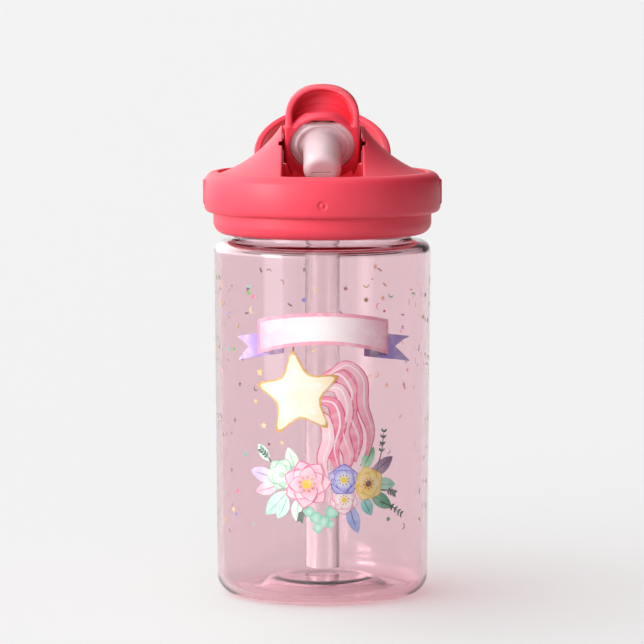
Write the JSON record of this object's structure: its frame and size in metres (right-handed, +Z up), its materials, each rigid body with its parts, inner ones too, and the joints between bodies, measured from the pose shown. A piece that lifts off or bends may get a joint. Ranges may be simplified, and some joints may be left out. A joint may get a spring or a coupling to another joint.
{
  "type": "kids water bottle",
  "caption": "Clear pink children's drinking bottle with a coral screw lid, grip band, carry loop, straw and folding bite-valve lever.",
  "frame": {"origin": "centre of the foot ring, in the plane that the bottle stands on", "axes": "+Z up along the bottle's axis; -Y towards the drinker, where the mouthpiece lies stowed; +X to the right seen from the front"},
  "size_m": [0.0824, 0.0838, 0.1763],
  "materials": {
    "tinted_clear": "clear copolyester with a faint pink tint, glossy",
    "straw_clear": "clear tube, slightly milky",
    "coral": "satin moulded polypropylene",
    "silicone": "milky moulded silicone, satin",
    "soft_silicone": "translucent soft silicone, satin",
    "elbow_clear": "clear hard plastic",
    "printed_ink": "screen-printed ink on the outside of the bottle"
  },
  "bodies": {
    "bottle": {"bottle_body": "tinted_clear"},
    "seal": {"lid_gasket": "silicone"},
    "cap": {"threaded_cup": "coral", "straw": "straw_clear", "vent_valve": "silicone", "port_seal": "silicone", "cap_deck": "coral", "grip_band": "coral", "carry_loop": "coral"},
    "lever": {"flip_lever": "coral", "spout_elbow": "elbow_clear", "bite_valve": "soft_silicone"}
  },
  "joints": [
    {"name": "cap_lift", "type": "slide", "parent": "bottle", "child": "seal", "axis": [0, 0, 1], "range_m": [0, 0.00562]},
    {"name": "cap_turn", "type": "hinge", "parent": "seal", "child": "cap", "pos_m": [0, 0, 0.13], "axis": [0, 0, 1], "range_deg": [0, 450]},
    {"name": "lever_flip", "type": "hinge", "parent": "cap", "child": "lever", "pos_m": [0, 0.006, 0.1552], "axis": [-1, 0, 0], "range_deg": [0, 90]}
  ],
  "couplings": [
    {"joint": "cap_lift", "follows": "cap_turn", "m_per_rad": 0.0007162}
  ]
}
